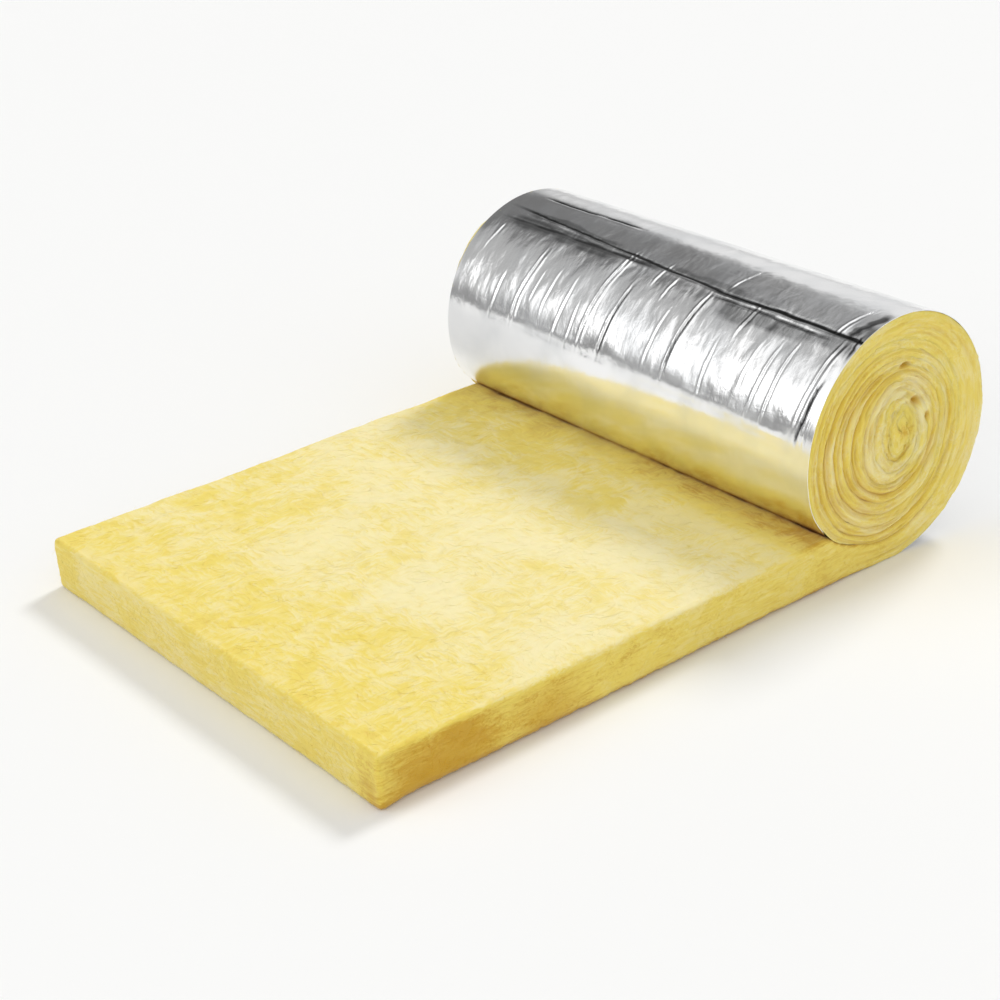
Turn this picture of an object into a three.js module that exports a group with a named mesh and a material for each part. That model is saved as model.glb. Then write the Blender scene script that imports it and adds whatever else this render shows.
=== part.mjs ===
// A part-unrolled roll of foil-faced glass wool insulation, in millimetres, +Z up.
//
// The blanket is one long strip. It lies flat, wool side up, from its cut end at the front (-Y),
// runs under the roll, turns up at the back (+Y) and winds into the roll, foil side out. Wool and
// foil are each one solid: a section in the Y-Z plane, extruded along X, the axis of the roll.
// Both sections come from one curve, the wool's foil-side face, so they always lie on each other.

import * as THREE from "three";

// ---------------------------------------------------------------- driving dimensions

const BLANKET_WIDTH = 600; // along the roll's axis, a stock width
const BLANKET_THICKNESS = 60; // of the free wool, as it springs back on the flat run
const FLAT_LENGTH = 704; // from the cut end to the line under the roll's centre
const ROLL_RADIUS = 145; // from the roll's centre to the floor
const FOIL_THICKNESS = 0.4; // foil, scrim and backing paper together
const BOND_GAP = 0.3; // between the wool and the foil on either side of it

const NIP_THICKNESS = 24; // of the wool where the roll's weight presses the flat run
const WOUND_THICKNESS = 10; // of the wool in the tightly wound turns
const OUTER_WRAP_DRIFT = 8; // how far the free outer wrap closes in over its turn
const CORE_RADIUS = 13; // of the wad in the middle, which leaves no bore

const NIP_START = THREE.MathUtils.degToRad(285); // where the outer wrap starts to press in
const NIP_END = THREE.MathUtils.degToRad(345); // where it is pressed all the way in
const CUT_EDGE_RADIUS = 7; // of the cut end's soft upper edge
const TURN_EDGE_ROUND = 3; // how far each turn's edge draws in at the roll's ends
const TURN_EDGE_DEPTH = 4.5; // how deep the crevices between the turns are

const STEPS_PER_TURN = 36;
const EDGE_STEPS = 2; // of the rounded edges at the ends
const CUT_EDGE_STEPS = 4;

const WOOL_COLOUR = 0xe6d27e;
const FOIL_COLOUR = 0xc9cbcc;

// ---------------------------------------------------------------- derived sizes

const TURN = 2 * Math.PI;
const STEP = TURN / STEPS_PER_TURN;
const LAYER_GAP = BOND_GAP + FOIL_THICKNESS + BOND_GAP; // from wool to wool, through the foil
const FOIL_OUTSIDE = FOIL_THICKNESS + BOND_GAP; // from the wool out to the foil's bare face
const WOOL_RADIUS = ROLL_RADIUS - FOIL_OUTSIDE; // of the wool's outer face under the centre
const WOUND_PITCH = WOUND_THICKNESS + LAYER_GAP;
const NIP_PITCH = NIP_THICKNESS + LAYER_GAP;
const NIP_SQUEEZE = NIP_PITCH - OUTER_WRAP_DRIFT; // what the nip takes off the first turn
const INNER_RADIUS = WOOL_RADIUS - NIP_PITCH; // where the second turn starts
const INNER_STEPS = Math.round(((INNER_RADIUS - CORE_RADIUS) / WOUND_PITCH) * STEPS_PER_TURN);
const TOTAL_STEPS = STEPS_PER_TURN + INNER_STEPS;
const FOIL_STEPS = TOTAL_STEPS - 1; // the foil stops just short of the wool's inner end

// ---------------------------------------------------------------- the winding curve

/** Radius of the wool's foil-side face after an angle wound from the line under the centre. */
function woolRadius(angle) {
  if (angle >= TURN) {
    return INNER_RADIUS - (WOUND_PITCH * (angle - TURN)) / TURN;
  }
  const pressed = THREE.MathUtils.smoothstep(angle, NIP_START, NIP_END);
  return WOOL_RADIUS - (OUTER_WRAP_DRIFT * angle) / TURN - NIP_SQUEEZE * pressed;
}

/** Point of the section at a wound angle, a distance outside the wool's foil-side face. */
function woundPoint(step, outside) {
  const angle = step * STEP;
  const radius = woolRadius(angle) + outside;
  return new THREE.Vector2(
    FLAT_LENGTH + radius * Math.sin(angle),
    ROLL_RADIUS - radius * Math.cos(angle),
  );
}

/** Points wound from one step to another, the end included, in either direction. */
function woundPoints(first, last, outside) {
  const direction = Math.sign(last - first);
  const points = [];
  for (let step = first; step !== last + direction; step += direction) {
    points.push(woundPoint(step, outside));
  }
  return points;
}

/** Rounded upper edge of the cut end, from the flat top down to the front face. */
function cutEdgePoints(top) {
  const edge = new THREE.Path();
  const radius = CUT_EDGE_RADIUS;
  edge.absarc(radius, top - radius, radius, Math.PI / 2, Math.PI, false);
  return edge.getPoints(CUT_EDGE_STEPS);
}

// ---------------------------------------------------------------- the two sections

/** Wool: flat run, outer wrap, tight turns and the wad in the middle, as one closed outline. */
function woolSection() {
  const top = FOIL_OUTSIDE + BLANKET_THICKNESS;
  const outerFace = woundPoints(0, TOTAL_STEPS, 0);
  // Each turn's inner face lies on the foil of the turn inside it. Ahead of the roll that foil
  // is the outer wrap's, and the flat run leaves it where it has sprung back to full thickness.
  const innerFace = woundPoints(TOTAL_STEPS, STEPS_PER_TURN, LAYER_GAP);
  const underWrap = woundPoints(STEPS_PER_TURN - 1, STEPS_PER_TURN / 2, LAYER_GAP);
  const pressedTop = underWrap.filter((point) => point.y < top);
  return [
    new THREE.Vector2(0, FOIL_OUTSIDE),
    ...outerFace,
    ...innerFace,
    ...pressedTop,
    contactPoint(underWrap, top),
    ...cutEdgePoints(top),
  ];
}

/** Where the outer wrap's foil meets the top of the flat run. */
function contactPoint(underWrap, top) {
  const after = underWrap.findIndex((point) => point.y >= top);
  const low = underWrap[after - 1];
  const high = underWrap[after];
  return low.clone().lerp(high, (top - low.y) / (high.y - low.y));
}

/** Foil: a thin band along the wool's outer face, from the cut end to the inner end. */
function foilSection() {
  return [
    new THREE.Vector2(0, 0),
    ...woundPoints(0, FOIL_STEPS, FOIL_OUTSIDE),
    ...woundPoints(FOIL_STEPS, 0, BOND_GAP),
    new THREE.Vector2(0, FOIL_THICKNESS),
  ];
}

// ---------------------------------------------------------------- solids

/** Extrudes a Y-Z section along X, centred on X = 0. */
function extrudeAcross(section, edge) {
  const depth = BLANKET_WIDTH - 2 * edge.depth;
  const geometry = new THREE.ExtrudeGeometry(new THREE.Shape(section), {
    depth,
    steps: 1,
    bevelEnabled: edge.depth > 0,
    bevelThickness: edge.depth,
    bevelSize: edge.round,
    bevelOffset: -edge.round,
    bevelSegments: EDGE_STEPS,
  });
  geometry.translate(0, 0, -depth / 2);
  // Shape X becomes world Y, shape Y becomes world Z, and the extrusion runs along world X.
  const axes = new THREE.Matrix4().makeBasis(
    new THREE.Vector3(0, 1, 0),
    new THREE.Vector3(0, 0, 1),
    new THREE.Vector3(1, 0, 0),
  );
  return geometry.applyMatrix4(axes);
}

function makeBlanket() {
  const softEdge = { round: TURN_EDGE_ROUND, depth: TURN_EDGE_DEPTH };
  const material = new THREE.MeshStandardMaterial({
    color: WOOL_COLOUR,
    roughness: 0.95,
    metalness: 0,
  });
  const blanket = new THREE.Mesh(extrudeAcross(woolSection(), softEdge), material);
  blanket.name = "glass_wool_blanket";
  return blanket;
}

function makeFoil() {
  const squareEdge = { round: 0, depth: 0 };
  const material = new THREE.MeshStandardMaterial({
    color: FOIL_COLOUR,
    roughness: 0.22,
    metalness: 1,
  });
  const foil = new THREE.Mesh(extrudeAcross(foilSection(), squareEdge), material);
  foil.name = "foil_facing";
  return foil;
}

// ---------------------------------------------------------------- assembly

/** Moves the strip so that the origin is under the middle of the whole object. */
function assemble() {
  const lengthAlongY = new THREE.Box2().setFromPoints(foilSection());
  const group = new THREE.Group();
  group.add(makeBlanket(), makeFoil());
  group.position.y = -(lengthAlongY.min.x + lengthAlongY.max.x) / 2;
  return group;
}

const group = assemble();

export default group;
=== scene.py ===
"""A part-unrolled roll of foil-faced glass wool insulation.

The blanket lies flat, wool side up, from its cut end at the front (-Y). It runs under the roll,
turns up at the back (+Y) and winds inwards with its foil side out. The wool is one soft body
and the foil facing is one crumpled sheet. Loose fibres lie on the wool. Lengths are in metres.
"""

from __future__ import annotations

import logging
import math
from collections.abc import Sequence
from dataclasses import dataclass, field
from enum import Enum, IntEnum
from typing import Any

import bmesh
import bpy
import numpy as np
from mathutils import Matrix, Vector, noise

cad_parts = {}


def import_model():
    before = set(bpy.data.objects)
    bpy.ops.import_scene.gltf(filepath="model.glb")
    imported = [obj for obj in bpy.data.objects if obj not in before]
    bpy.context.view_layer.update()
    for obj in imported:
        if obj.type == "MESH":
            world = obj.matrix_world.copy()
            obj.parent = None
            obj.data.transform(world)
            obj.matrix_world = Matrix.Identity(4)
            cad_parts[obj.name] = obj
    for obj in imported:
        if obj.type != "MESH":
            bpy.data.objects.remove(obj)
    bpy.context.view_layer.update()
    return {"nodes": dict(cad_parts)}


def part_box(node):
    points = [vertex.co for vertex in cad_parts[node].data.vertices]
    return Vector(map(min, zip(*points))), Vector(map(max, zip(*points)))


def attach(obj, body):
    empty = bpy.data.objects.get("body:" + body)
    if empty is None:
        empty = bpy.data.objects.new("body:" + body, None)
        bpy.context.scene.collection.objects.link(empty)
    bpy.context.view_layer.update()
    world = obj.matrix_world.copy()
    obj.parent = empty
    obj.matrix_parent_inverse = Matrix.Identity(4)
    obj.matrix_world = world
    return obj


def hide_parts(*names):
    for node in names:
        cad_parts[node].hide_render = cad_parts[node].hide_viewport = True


LOG = logging.getLogger("insulation_roll")
TURN = 2.0 * math.pi
Colour = tuple[float, float, float, float]


# ------------------------------------------------------------------------------ small helpers


def linear(red: int, green: int, blue: int) -> Colour:
    """Turns an sRGB colour into the linear one that a socket holds.

    Args:
        red: Red from 0 to 255.
        green: Green from 0 to 255.
        blue: Blue from 0 to 255.

    Returns:
        The linear red, green, blue and a full alpha.
    """

    def channel(value: int) -> float:
        """Turns one channel."""
        share = value / 255.0
        return share / 12.92 if share <= 0.04045 else ((share + 0.055) / 1.055) ** 2.4

    return channel(red), channel(green), channel(blue), 1.0


def smooth(value: np.ndarray, low: float, high: float) -> np.ndarray:
    """Rises smoothly from 0 at low to 1 at high."""
    share = np.clip((value - low) / (high - low), 0.0, 1.0)
    return share * share * (3.0 - 2.0 * share)


def drift(values: np.ndarray, pace: float, lane: float) -> np.ndarray:
    """Gives smooth noise from about -1 to 1 along a line.

    Args:
        values: Places along the line.
        pace: How many bumps the noise has per unit.
        lane: Picks a separate stretch of noise.

    Returns:
        One noise value for each place.
    """
    return np.array([noise.noise((value * pace, lane, 0.37 * lane)) for value in values])


def graded(length: float, cell: float) -> np.ndarray:
    """Spaces stations from 0 to a length, closer together near the start.

    Args:
        length: Where the last station is.
        cell: The spacing away from the start.

    Returns:
        The stations, in rising order.
    """
    start = np.cumsum([0.0] + [cell * share for share in (0.3, 0.4, 0.5, 0.65, 0.8)])
    count = round((length - start[-1]) / cell)
    return np.concatenate([start, np.linspace(start[-1], length, count + 1)[1:]])


def rounding(depth: np.ndarray, width: np.ndarray, drop: np.ndarray) -> np.ndarray:
    """Gives how far a rounded edge draws in.

    Args:
        depth: Distance from the edge.
        width: How far the rounding reaches.
        drop: How far the very edge draws in.

    Returns:
        The inset, from drop at the edge to 0 past the width.
    """
    share = np.clip(1.0 - depth / width, 0.0, 1.0)
    return drop * (1.0 - np.sqrt(np.maximum(1.0 - share * share, 0.0)))


# ------------------------------------------------------------------------------ node building


class NodeSheet:
    """Lays out the nodes of one tree, a shader's or a geometry's."""

    def __init__(self, tree: bpy.types.NodeTree) -> None:
        """Starts on an existing tree."""
        self.tree = tree

    def add(self, kind: str, inputs: dict[Any, Any] | None = None, **settings: Any) -> bpy.types.Node:
        """Adds a node.

        Args:
            kind: Blender's name for the node.
            inputs: Values or sockets by input name or number.
            **settings: The node's own properties.

        Returns:
            The new node.
        """
        node = self.tree.nodes.new(kind)
        for name, value in settings.items():
            setattr(node, name, value)
        for key, value in (inputs or {}).items():
            self.feed(node.inputs[key], value)
        return node

    def feed(self, socket: bpy.types.NodeSocket, value: Any) -> None:
        """Links a socket or node to an input, or sets the input's plain value."""
        if isinstance(value, bpy.types.Node):
            value = value.outputs[0]
        if isinstance(value, bpy.types.NodeSocket):
            self.tree.links.new(value, socket)
        else:
            socket.default_value = value

    def math(self, operation: str, *values: Any) -> bpy.types.NodeSocket:
        """Adds a Math node on up to three values and returns its result."""
        return self.add("ShaderNodeMath", dict(enumerate(values)), operation=operation).outputs[0]

    def vector(self, operation: str, *values: Any) -> bpy.types.NodeSocket:
        """Adds a Vector Math node and returns its vector, or its number for a dot product."""
        node = self.add("ShaderNodeVectorMath", dict(enumerate(values)), operation=operation)
        return node.outputs["Value" if operation == "DOT_PRODUCT" else "Vector"]

    def scaled(self, value: Any, scale: Any) -> bpy.types.NodeSocket:
        """Scales a vector by one number."""
        node = self.add("ShaderNodeVectorMath", {0: value, "Scale": scale}, operation="SCALE")
        return node.outputs["Vector"]

    def noise(self, place: Any, scale: Any, detail: float = 2.0, swirl: float = 0.0) -> bpy.types.Node:
        """Adds a three-dimensional Noise Texture read at a place."""
        inputs = {"Vector": place, "Scale": scale, "Detail": detail, "Distortion": swirl}
        return self.add("ShaderNodeTexNoise", inputs)

    def ramp(self, value: Any, low: Any, high: Any, start: Any = 0.0, end: Any = 1.0) -> bpy.types.NodeSocket:
        """Turns low..high smoothly into start..end."""
        inputs = {"Value": value, "From Min": low, "From Max": high, "To Min": start, "To Max": end}
        return self.add("ShaderNodeMapRange", inputs, interpolation_type="SMOOTHSTEP").outputs[0]

    def blend(self, factor: Any, first: Any, second: Any, kind: str = "MIX") -> bpy.types.NodeSocket:
        """Mixes two colours by a factor."""
        inputs = {0: factor, 6: first, 7: second}
        return self.add("ShaderNodeMix", inputs, data_type="RGBA", blend_type=kind).outputs[2]


def open_group(name: str, kind: str, inputs: Sequence[tuple], outputs: Sequence[tuple]) -> tuple:
    """Starts a node group with named inputs and outputs.

    Args:
        name: The group's name.
        kind: ShaderNodeTree or GeometryNodeTree.
        inputs: A name, a socket type and, where it has one, a default for each input.
        outputs: A name and a socket type for each output.

    Returns:
        The node sheet, the group's input node and its output node.
    """
    tree = bpy.data.node_groups.new(name, kind)
    for label, socket_type, *default in inputs:
        socket = tree.interface.new_socket(label, in_out="INPUT", socket_type=socket_type)
        if default:
            socket.default_value = default[0]
    for label, socket_type in outputs:
        tree.interface.new_socket(label, in_out="OUTPUT", socket_type=socket_type)
    sheet = NodeSheet(tree)
    return sheet, sheet.add("NodeGroupInput"), sheet.add("NodeGroupOutput")


def apply_nodes(piece: bpy.types.Object, tree: bpy.types.NodeTree, **values: Any) -> bpy.types.Object:
    """Runs a geometry tree on a piece and keeps the result as a plain mesh.

    Args:
        piece: The object that the tree works on.
        tree: The geometry tree.
        **values: The tree's inputs, with _ for a space in a name.

    Returns:
        The same object, with its new mesh and no modifier.
    """
    modifier = piece.modifiers.new(tree.name, "NODES")
    modifier.node_group = tree
    named = {label.replace("_", " "): value for label, value in values.items()}
    for item in tree.interface.items_tree:
        if item.in_out == "INPUT" and item.name in named:
            modifier[item.identifier] = named.pop(item.name)
    if named:
        raise ValueError(f"{tree.name} has no input named {sorted(named)}")
    graph = bpy.context.evaluated_depsgraph_get()
    settled = piece.evaluated_get(graph)
    mesh = bpy.data.meshes.new_from_object(settled, preserve_all_data_layers=True, depsgraph=graph)
    piece.modifiers.clear()
    old = piece.data
    piece.data = mesh
    if not old.users:
        bpy.data.meshes.remove(old)
    return piece


# ------------------------------------------------------------------------------ mesh building


class Shell:
    """Vertices with named values, and faces, gathered into one closed mesh."""

    NUMBERS = ("relief", "crevice", "tint", "zone")
    VECTORS = ("laid", "along")

    def __init__(self) -> None:
        """Starts empty."""
        self.count = 0
        self.places: list[np.ndarray] = []
        self.values: dict[str, list[np.ndarray]] = {name: [] for name in self.NUMBERS + self.VECTORS}
        self.faces: list[tuple[int, ...]] = []

    def add(self, places: np.ndarray, **values: Any) -> np.ndarray:
        """Adds vertices.

        Args:
            places: An array whose last axis is x, y, z.
            **values: Named values of the same leading shape, or one for all. The rest are 0.

        Returns:
            The new vertices' numbers, in the array's leading shape.
        """
        shape = places.shape[:-1]
        total = int(np.prod(shape))
        self.places.append(places.reshape(total, 3))
        for name, stack in self.values.items():
            size = (3,) if name in self.VECTORS else ()
            value = np.broadcast_to(values.get(name, 0.0), shape + size)
            stack.append(value.reshape((total,) + size))
        index = np.arange(self.count, self.count + total).reshape(shape)
        self.count += total
        return index

    def patch(self, grid: np.ndarray) -> None:
        """Adds the four-sided faces of a grid of vertex numbers."""
        corners = (grid[:-1, :-1], grid[1:, :-1], grid[1:, 1:], grid[:-1, 1:])
        self.faces.extend(map(tuple, np.stack(corners, -1).reshape(-1, 4).tolist()))

    def polygon(self, *loops: Sequence[int]) -> None:
        """Adds one many-sided face whose outline is the loops, end to end."""
        self.faces.append(tuple(int(number) for loop in loops for number in loop))

    def build(self, name: str) -> bpy.types.Object:
        """Makes the object, with its faces turned outwards and shaded smooth.

        Args:
            name: The object's name.

        Returns:
            The object, linked to the scene.
        """
        mesh = bpy.data.meshes.new(name)
        mesh.from_pydata(np.concatenate(self.places), [], self.faces)
        for label, stack in self.values.items():
            kind, key = ("FLOAT_VECTOR", "vector") if label in self.VECTORS else ("FLOAT", "value")
            layer = mesh.attributes.new(label, kind, "POINT")
            layer.data.foreach_set(key, np.concatenate(stack).astype(np.float32).ravel())
        work = bmesh.new()
        work.from_mesh(mesh)
        bmesh.ops.recalc_face_normals(work, faces=work.faces)
        work.to_mesh(mesh)
        work.free()
        mesh.shade_smooth()
        piece = bpy.data.objects.new(name, mesh)
        bpy.context.scene.collection.objects.link(piece)
        return piece


# ------------------------------------------------------------------------------ the winding


@dataclass
class Winding:
    """The curve of the wool's foil side as it turns up at the back and winds into the roll.

    An angle is counted from the line under the roll's centre. A quarter turn is the back of the
    roll, half a turn its top and three quarters its front.
    """

    centre_y: float
    centre_z: float = 0.145
    wool_radius: float = 0.1443
    outer_wrap_drift: float = 0.008
    nip_pitch: float = 0.025
    wound_pitch: float = 0.011
    core_radius: float = 0.013
    nip_start: float = math.radians(285.0)
    nip_end: float = math.radians(345.0)
    foil_outside: float = 0.0007
    layer_gap: float = 0.001
    stray: float = 0.0046  # how far an inner turn strays from a true spiral
    core_stretch: float = 0.44  # how much taller than wide the innermost turns are

    SHIFT_TURNS = (0.85, 1.2, 1.8, 3.0, 5.0, 8.0, 10.7)
    SHIFT_Y = (0.0, -0.015, -0.013, -0.009, -0.003, 0.004, 0.008)
    SHIFT_Z = (0.0, 0.0, 0.0, 0.001, 0.002, 0.004, 0.005)

    @property
    def inner_radius(self) -> float:
        """Radius at which the second turn starts."""
        return self.wool_radius - self.nip_pitch

    @property
    def end_angle(self) -> float:
        """Angle at which the strip ends in the middle."""
        return TURN + TURN * (self.inner_radius - self.core_radius) / self.wound_pitch

    def radius(self, angle: np.ndarray) -> np.ndarray:
        """Gives the radius of the true spiral at each angle."""
        squeeze = self.nip_pitch - self.outer_wrap_drift
        pressed = smooth(angle, self.nip_start, self.nip_end)
        outer = self.wool_radius - self.outer_wrap_drift * angle / TURN - squeeze * pressed
        inner = self.inner_radius - self.wound_pitch * (angle - TURN) / TURN
        return np.where(angle < TURN, outer, inner)

    def points(self, angle: np.ndarray, outside: float | np.ndarray = 0.0) -> np.ndarray:
        """Gives places on the curve.

        Args:
            angle: Wound angles.
            outside: Distance outwards from the wool's foil side.

        Returns:
            Y and Z of each place.
        """
        turn = angle / TURN
        loose = smooth(turn, 1.0, 2.2)
        coils = [(0.85 * math.cos(a), 0.85 * math.sin(a), 0.45 * a / TURN) for a in angle]
        wobble = np.array([noise.noise(coil) for coil in coils]) * self.stray * loose
        radius = self.radius(angle) + outside + wobble
        stretch = self.core_stretch * smooth(turn, 5.0, 10.5)
        y = self.centre_y + np.interp(turn, self.SHIFT_TURNS, self.SHIFT_Y)
        z = self.centre_z + np.interp(turn, self.SHIFT_TURNS, self.SHIFT_Z)
        y = y + radius * np.sin(angle) * (1.0 - 0.7 * stretch)
        z = z - radius * np.cos(angle) * (1.0 + 0.5 * stretch)
        return np.stack([y, z], -1)

    def height_over_nip(self, y: np.ndarray) -> np.ndarray:
        """Gives the height of the outer wrap's underside in front of the roll's centre."""
        angle = np.linspace(0.75 * TURN, TURN, 120)
        under = self.points(angle, self.layer_gap)
        return np.interp(y, under[:, 0], under[:, 1], left=np.inf)

    def evenly(self, start: float, end: float, pace: float) -> np.ndarray:
        """Gives angles from start to end that lie an even distance apart along the curve."""
        fine = np.linspace(start, end, 4000)
        steps = np.linalg.norm(np.diff(self.points(fine), axis=0), axis=1)
        run = np.concatenate([[0.0], np.cumsum(steps)])
        return np.interp(np.linspace(0.0, run[-1], round(run[-1] / pace) + 1), run, fine)


# ------------------------------------------------------------------------------ the wool


class Zone(IntEnum):
    """Which part of the wool's surface a vertex is on."""

    HIDDEN = 0
    TOP = 1
    WALL = 2
    END = 3


@dataclass(frozen=True)
class Blotch:
    """A patch of deeper yellow wool."""

    place: tuple[float, float, float]
    reach: float
    strength: float


@dataclass
class Strip:
    """Stations along the blanket, each with its foil side and its wool side."""

    outer: np.ndarray  # Y and Z of the foil side
    inner: np.ndarray  # Y and Z of the wool side
    angle: np.ndarray  # wound angle, 0 on the flat run
    fine: int  # number of stations with the flat run's fine grid


@dataclass
class WoolBlanket:
    """The glass wool: flat run, pressed nip and wound turns, as one soft body."""

    winding: Winding
    front: float
    half_width: float
    thickness: float = 0.060
    cell: float = 0.0038  # spacing of the fine grid on the flat run
    pace: float = 0.0035  # spacing of the stations along the turns
    levels: int = 16  # through the thickness
    into_nip: float = 0.036  # how far the fine grid runs on past the line where the roll touches
    top_edge: float = 0.0048  # rounding of the flat run's upper edges
    bottom_edge: float = 0.0040
    plan_corner: float = 0.0045  # rounding of the cut end's upright corners
    groove_width: float = 0.0050  # of the crevices between the turns
    groove_depth: float = 0.0045
    bulge: float = 0.0012  # how far the middle of a turn stands out at the ends
    proud: float = 0.0030  # how far the left end's outer turn stands out past the foil
    rim_depth: float = 0.0005  # rounding of the outer wrap's wool next to the foil
    split_depth: float = 0.0024  # of the splits inside a turn
    cut_tint: float = 0.66  # cut faces are a deeper yellow than the top
    right_tint: float = 0.28  # and the flat run's right face is deeper still
    wound_tint: float = 0.10
    heart_tint: float = 0.65  # of the deep yellow middle itself
    ring_tint: float = -0.42  # of the paler ring round the deep yellow middle
    undercut: float = 0.0030  # how far the right face draws in at the floor
    top_blotches: tuple[Blotch, ...] = (
        Blotch((-0.30, -0.300, 0.06), 0.330, 0.42),
        Blotch((0.00, -0.440, 0.06), 0.180, 0.44),
        Blotch((0.22, -0.420, 0.06), 0.120, 0.36),
        Blotch((-0.27, -0.235, 0.06), 0.050, 0.62),
        Blotch((-0.25, -0.385, 0.06), 0.035, 0.58),
        Blotch((-0.02, -0.385, 0.06), 0.040, 0.58),
        Blotch((0.07, -0.345, 0.06), 0.045, 0.72),
        Blotch((0.14, -0.315, 0.06), 0.030, 0.60),
        Blotch((0.26, -0.290, 0.06), 0.035, 0.45),
    )
    side_blotches: tuple[Blotch, ...] = (
        Blotch((0.33, -0.345, 0.00), 0.110, 2.60),
        Blotch((0.33, -0.220, 0.01), 0.090, 2.15),
        Blotch((0.31, -0.250, 0.05), 0.028, 1.60),
        Blotch((0.31, -0.120, 0.03), 0.060, 1.25),
        Blotch((0.30, 0.290, 0.148), 0.020, 1.55),
        Blotch((0.30, 0.296, 0.124), 0.016, 1.30),
        # Painted shade: this patch darkens the outer back part of the right end, where light falls less.
        Blotch((0.30, 0.385, 0.150), 0.075, 0.98),
        Blotch((0.30, 0.146, 0.108), 0.026, 1.15),
        Blotch((0.30, 0.142, 0.150), 0.022, 1.05),
        Blotch((0.30, 0.158, 0.190), 0.022, 0.95),
        Blotch((-0.30, 0.290, 0.148), 0.022, 1.30),
        Blotch((-0.30, -0.300, 0.03), 0.035, 0.60),
        Blotch((-0.30, -0.050, 0.04), 0.030, 0.45),
    )

    # Middle of each split as a share of the thickness, and its width.
    SPLITS = ((0.50, 0.0013), (0.27, 0.0011), (0.74, 0.0011), (0.62, 0.0009), (0.38, 0.0009))
    # Y and Z of each small hole in the ends, with its reach both ways.
    POCKETS = ((0.311, 0.179, 0.0085, 0.0050), (0.292, 0.226, 0.0070, 0.0025), (0.329, 0.156, 0.0035, 0.0050))
    pocket_depth: float = 0.0065

    def strip(self) -> Strip:
        """Lays out the stations from the cut end to the middle of the roll."""
        wind = self.winding
        floor = wind.foil_outside
        top = floor + self.thickness
        probe = np.linspace(self.front, wind.centre_y, 3000)
        contact = probe[np.argmax(wind.height_over_nip(probe) < top)]
        fine = self.front + graded(contact + self.into_nip - self.front, self.cell)
        rest = np.linspace(fine[-1], wind.centre_y, round((wind.centre_y - fine[-1]) / self.pace))
        flat = np.concatenate([fine, rest[1:-1]])
        lag = wind.centre_y - wind.points(np.full(2, TURN))[0, 0]
        under = flat - lag * smooth(flat, wind.centre_y - 0.065, wind.centre_y)
        height = np.minimum(top, wind.height_over_nip(under))
        wound = wind.evenly(0.0, wind.end_angle, self.pace)
        return Strip(
            outer=np.concatenate([np.stack([flat, np.full_like(flat, floor)], -1), wind.points(wound)]),
            inner=np.concatenate([np.stack([under, height], -1), self.wool_side(wound)]),
            angle=np.concatenate([np.zeros_like(flat), wound]),
            fine=len(fine),
        )

    def wool_side(self, angle: np.ndarray) -> np.ndarray:
        """Gives the wool side of each wound station: the foil of the next turn, or the wad."""
        wind = self.winding
        past = angle + TURN - wind.end_angle
        closing = 1.0 - smooth(past, -0.02, math.radians(14.0))
        centre = wind.points(np.full(2, wind.end_angle)).mean(0)
        middle = wind.points(np.array([wind.end_angle - 0.5 * TURN])).mean(0)
        heart = 0.5 * (centre + middle)
        inside = wind.points(np.minimum(angle + TURN, wind.end_angle + past * (past > 0)), wind.layer_gap)
        return heart + (inside - heart) * closing[:, None]

    def groove(self, angle: np.ndarray) -> np.ndarray:
        """Gives how open the crevice outside a turn is, from 0 to 1.

        The turns are slack at the front and below, and press together at the back.
        """
        slack = 0.5 + 0.5 * np.cos(angle - math.radians(288.0))
        turn = angle / TURN
        core = smooth(turn, 2.2, 6.5)
        patchy = drift(angle, 0.62, 4.0) + 0.5 * drift(angle, 1.9, 6.0)
        wad = 1.0 - smooth(angle, self.winding.end_angle - 1.2 * TURN, self.winding.end_angle - 0.4 * TURN)
        wad = wad * (1.0 - 0.5 * smooth(turn, 6.3, 8.0))
        return np.clip(0.02 + 0.80 * slack**1.4 + 0.25 * core + 0.75 * patchy, 0.0, 1.0) * wad

    def insets(self, strip: Strip, level: np.ndarray) -> tuple[np.ndarray, np.ndarray]:
        """Gives how far the blanket's edge draws in, and how much painted shade it takes in the crevices.

        Args:
            strip: The stations.
            level: Shares of the thickness, from the foil side to the wool side.

        Returns:
            The inset and the painted crevice shade, each station by level.
        """
        wind = self.winding
        depth = np.linalg.norm(strip.inner - strip.outer, axis=1)[:, None]
        wound = strip.angle > 0.0
        flat_share = 1.0 - smooth(strip.outer[:, 0], wind.centre_y - 0.075, wind.centre_y - 0.02)
        flat_share = np.where(wound, 0.0, flat_share)[:, None]
        covered = smooth(strip.angle, math.radians(308.0), math.radians(350.0))[:, None]
        outer_open = covered * self.groove(strip.angle)[:, None]
        inner_open = self.groove(strip.angle + TURN)[:, None]
        rim = (1.0 - covered) * self.rim_depth
        outer_drop = flat_share * self.bottom_edge + (1 - flat_share) * (rim + self.groove_depth * outer_open)
        inner_drop = flat_share * self.top_edge + (1 - flat_share) * self.groove_depth * inner_open
        outer_width = np.minimum(self.bottom_edge + (self.groove_width - self.bottom_edge) * covered, 0.45 * depth)
        inner_width = flat_share * self.top_edge + (1 - flat_share) * self.groove_width
        inner_width = np.minimum(inner_width, 0.45 * depth)
        from_outer = level * depth
        from_inner = (1.0 - level) * depth
        inset = rounding(from_outer, outer_width, outer_drop) + rounding(from_inner, inner_width, inner_drop)
        valley = outer_drop * (1.0 - smooth(from_outer, 0.0, 1.25 * outer_width))
        valley = valley + inner_drop * (1.0 - smooth(from_inner, 0.0, 1.25 * inner_width))
        sharp = flat_share + (1.0 - flat_share) * (0.68 - 0.12 * covered)
        inset = sharp * inset + (1.0 - sharp) * valley
        split = np.zeros_like(inset)
        whole = 1.0 - smooth(strip.angle, wind.end_angle - TURN - 0.3, wind.end_angle - TURN + 0.3)
        for lane, (centre, width) in enumerate(self.SPLITS):
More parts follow.
